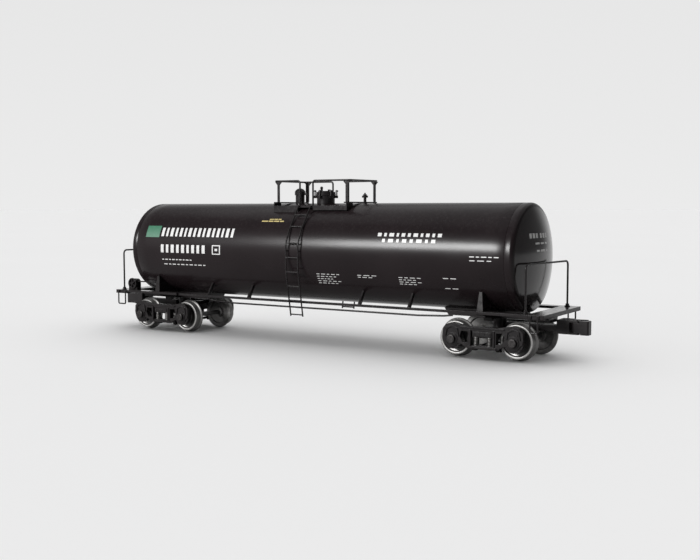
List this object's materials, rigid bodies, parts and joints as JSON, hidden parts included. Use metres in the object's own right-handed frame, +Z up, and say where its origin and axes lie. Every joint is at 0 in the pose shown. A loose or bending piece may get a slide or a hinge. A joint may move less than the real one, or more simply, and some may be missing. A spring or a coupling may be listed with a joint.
{
  "type": "model tank wagon",
  "caption": "Model bogie tank wagon: long dished-end cylinder on two swivelling four-wheel trucks, with top walkway, side ladders, end platforms, hand brake and knuckle couplers.",
  "frame": {"origin": "middle of the wagon, on the plane that the wheel flanges touch", "axes": "+X along the wagon towards the end without the hand brake, +Y across, +Z up"},
  "size_m": [0.3424, 0.0648, 0.1001],
  "materials": {
    "tank_black": "satin gloss black moulded plastic",
    "frame_black": "satin black paint",
    "truck_black": "matt blackened casting",
    "coupler_black": "blackened casting",
    "wire_black": "satin black wire and etched parts",
    "wheel_steel": "turned bare metal",
    "axle_steel": "blackened steel",
    "spring_steel": "dull steel wire",
    "fastener_black": "blackened steel",
    "ballast_steel": "plain steel bar"
  },
  "bodies": {
    "car": {"ballast_weight": "ballast_steel", "brake_housing": "frame_black", "corner_steps": "wire_black", "end_board_a": "frame_black", "end_board_b": "frame_black", "end_handrail_a": "wire_black", "end_handrail_b": "wire_black", "ladder_far": "wire_black", "ladder_near": "wire_black", "manway_bolts": "fastener_black", "manway_cover": "tank_black", "manway_nozzle": "tank_black", "side_rail_far": "wire_black", "side_rail_near": "wire_black", "side_walks_a": "frame_black", "side_walks_b": "frame_black", "tank_barrel": "tank_black", "tank_head_a": "tank_black", "tank_head_b": "tank_black", "top_rail_left": "wire_black", "top_rail_right": "wire_black", "top_walkway": "frame_black", "train_pipe": "wire_black", "truck_screws": "fastener_black", "underframe_a": "frame_black", "underframe_b": "frame_black", "vacuum_valve": "tank_black", "valve_housing": "tank_black", "walkway_posts": "wire_black"},
    "truck_a": {"truck_bolster_a": "truck_black", "side_frame_near_a": "truck_black", "side_frame_far_a": "truck_black", "spring_set_a": "spring_steel", "brake_rigging_a": "truck_black", "coupler_a": "coupler_black", "knuckle_pin_a": "fastener_black"},
    "knuckle_body_a": {"knuckle_a": "coupler_black"},
    "latch_a": {"uncoupling_plate_a": "coupler_black"},
    "wheelset_outer_a": {"axle_outer_a": "axle_steel", "wheels_outer_a": "wheel_steel", "bearing_caps_outer_a": "truck_black"},
    "wheelset_inner_a": {"axle_inner_a": "axle_steel", "wheels_inner_a": "wheel_steel", "bearing_caps_inner_a": "truck_black"},
    "truck_b": {"truck_bolster_b": "truck_black", "side_frame_near_b": "truck_black", "side_frame_far_b": "truck_black", "spring_set_b": "spring_steel", "brake_rigging_b": "truck_black", "coupler_b": "coupler_black", "knuckle_pin_b": "fastener_black"},
    "knuckle_body_b": {"knuckle_b": "coupler_black"},
    "latch_b": {"uncoupling_plate_b": "coupler_black"},
    "wheelset_outer_b": {"axle_outer_b": "axle_steel", "wheels_outer_b": "wheel_steel", "bearing_caps_outer_b": "truck_black"},
    "wheelset_inner_b": {"axle_inner_b": "axle_steel", "wheels_inner_b": "wheel_steel", "bearing_caps_inner_b": "truck_black"},
    "brake_wheel": {"brake_wheel": "frame_black"}
  },
  "joints": [
    {"name": "truck_a_swivel", "type": "hinge", "parent": "car", "child": "truck_a", "pos_m": [-0.1181, 0, 0.0165], "axis": [0, 0, 1], "range_deg": [-15, 15]},
    {"name": "wheelset_outer_a_spin", "type": "hinge", "parent": "truck_a", "child": "wheelset_outer_a", "pos_m": [-0.13625, 0, 0.0108], "axis": [0, 1, 0], "continuous": true},
    {"name": "wheelset_inner_a_spin", "type": "hinge", "parent": "truck_a", "child": "wheelset_inner_a", "pos_m": [-0.09995, 0, 0.0108], "axis": [0, 1, 0], "continuous": true},
    {"name": "knuckle_a_open", "type": "hinge", "parent": "truck_a", "child": "knuckle_body_a", "pos_m": [-0.1635, 0.0034, 0.019], "axis": [0, 0, 1], "range_deg": [-45, 0]},
    {"name": "latch_a_drop", "type": "slide", "parent": "truck_a", "child": "latch_a", "axis": [0, 0, -1], "range_m": [0, 0.001], "stiffness_N_per_m": 60, "springref_m": -0.0004},
    {"name": "truck_b_swivel", "type": "hinge", "parent": "car", "child": "truck_b", "pos_m": [0.1181, 0, 0.0165], "axis": [0, 0, 1], "range_deg": [-15, 15]},
    {"name": "wheelset_outer_b_spin", "type": "hinge", "parent": "truck_b", "child": "wheelset_outer_b", "pos_m": [0.13625, 0, 0.0108], "axis": [0, 1, 0], "continuous": true},
    {"name": "wheelset_inner_b_spin", "type": "hinge", "parent": "truck_b", "child": "wheelset_inner_b", "pos_m": [0.09995, 0, 0.0108], "axis": [0, 1, 0], "continuous": true},
    {"name": "knuckle_b_open", "type": "hinge", "parent": "truck_b", "child": "knuckle_body_b", "pos_m": [0.1635, -0.0034, 0.019], "axis": [0, 0, 1], "range_deg": [-45, 0]},
    {"name": "latch_b_drop", "type": "slide", "parent": "truck_b", "child": "latch_b", "axis": [0, 0, -1], "range_m": [0, 0.001], "stiffness_N_per_m": 60, "springref_m": -0.0004},
    {"name": "brake_wheel_spin", "type": "hinge", "parent": "car", "child": "brake_wheel", "pos_m": [-0.145, -0.0211, 0.0313], "axis": [0, -1, 0], "continuous": true}
  ]
}
